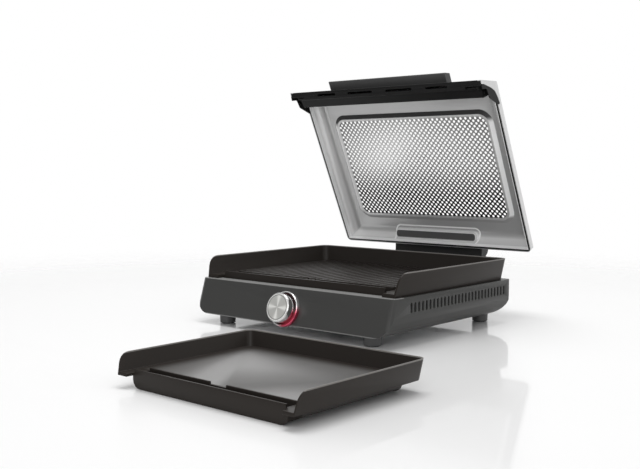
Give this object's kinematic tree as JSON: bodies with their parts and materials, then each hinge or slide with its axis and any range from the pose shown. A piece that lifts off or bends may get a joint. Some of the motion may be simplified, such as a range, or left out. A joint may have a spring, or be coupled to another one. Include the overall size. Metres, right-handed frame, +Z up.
{
  "type": "smokeless indoor grill",
  "caption": "Countertop electric grill with a vented housing, ridged removable plate, hinged lid with perforated window, dial control, and a flat griddle plate beside it",
  "frame": {"origin": "under the middle of the bounding box of the whole set, on the worktop", "axes": "+X to the right of the grill seen from the front, +Y towards its back, +Z up"},
  "size_m": [0.6012, 0.8472, 0.4301],
  "materials": {
    "charcoal_paint": "satin charcoal paint",
    "cast_coating": "cast aluminium under a dark non-stick coating",
    "satin_steel": "satin",
    "bare_steel": "mill finish",
    "chrome": "bright",
    "black_plastic": "fine-textured black",
    "rubber": "matt black",
    "red_lens": "translucent red",
    "ceramic": "white, stands for steatite and board",
    "sheath": "oxidised sheath"
  },
  "bodies": {
    "base": {"housing": "charcoal_paint", "bottom_cover": "bare_steel", "foot_front_left": "black_plastic", "foot_pad_front_left": "rubber", "foot_front_right": "black_plastic", "foot_pad_front_right": "rubber", "foot_rear_left": "black_plastic", "foot_pad_rear_left": "rubber", "foot_rear_right": "black_plastic", "foot_pad_rear_right": "rubber", "heat_reflector": "bare_steel", "heating_element": "sheath", "element_rail_left": "bare_steel", "element_rail_right": "bare_steel", "temperature_probe": "bare_steel", "thermal_cutout": "ceramic", "terminal_block_front": "ceramic", "terminal_block_rear": "ceramic", "cord_gland": "rubber", "dial_base": "black_plastic", "light_ring": "red_lens", "bezel_ring": "chrome", "indicator_board": "ceramic", "control_bracket": "bare_steel", "thermostat": "black_plastic", "hinge_bracket": "black_plastic", "hinge_pin": "bare_steel", "pin_clip": "bare_steel", "friction_washer_left": "bare_steel", "friction_washer_right": "bare_steel"},
    "lid": {"hinge_arm": "black_plastic", "lid_shell": "satin_steel", "lid_liner": "satin_steel", "mesh_screen": "satin_steel", "rim_edging": "rubber", "fixing_plate": "black_plastic", "lid_visor": "black_plastic", "lid_handle": "black_plastic", "window_frame": "satin_steel"},
    "knob": {"knob_body": "chrome", "knob_cap": "satin_steel", "dial_shaft": "bare_steel"},
    "grill_plate": {"grill_plate": "cast_coating"},
    "griddle_plate": {"griddle_plate": "cast_coating"}
  },
  "joints": [
    {"name": "lid_hinge", "type": "hinge", "parent": "base", "child": "lid", "pos_m": [-0.08857, 0.35568, 0.0628], "axis": [-1, 0, 0], "range_deg": [-64.7, 0]},
    {"name": "knob_turn", "type": "hinge", "parent": "base", "child": "knob", "pos_m": [-0.08857, -0.02762, 0.0416], "axis": [0, 0.9566, -0.2914], "range_deg": [0, 270]},
    {"name": "grill_plate_lift", "type": "slide", "parent": "base", "child": "grill_plate", "axis": [0, 0, 1], "range_m": [0, 0.12]},
    {"name": "griddle_plate_lift", "type": "slide", "parent": "base", "child": "griddle_plate", "axis": [0, 0, 1], "range_m": [0, 0.06]}
  ]
}
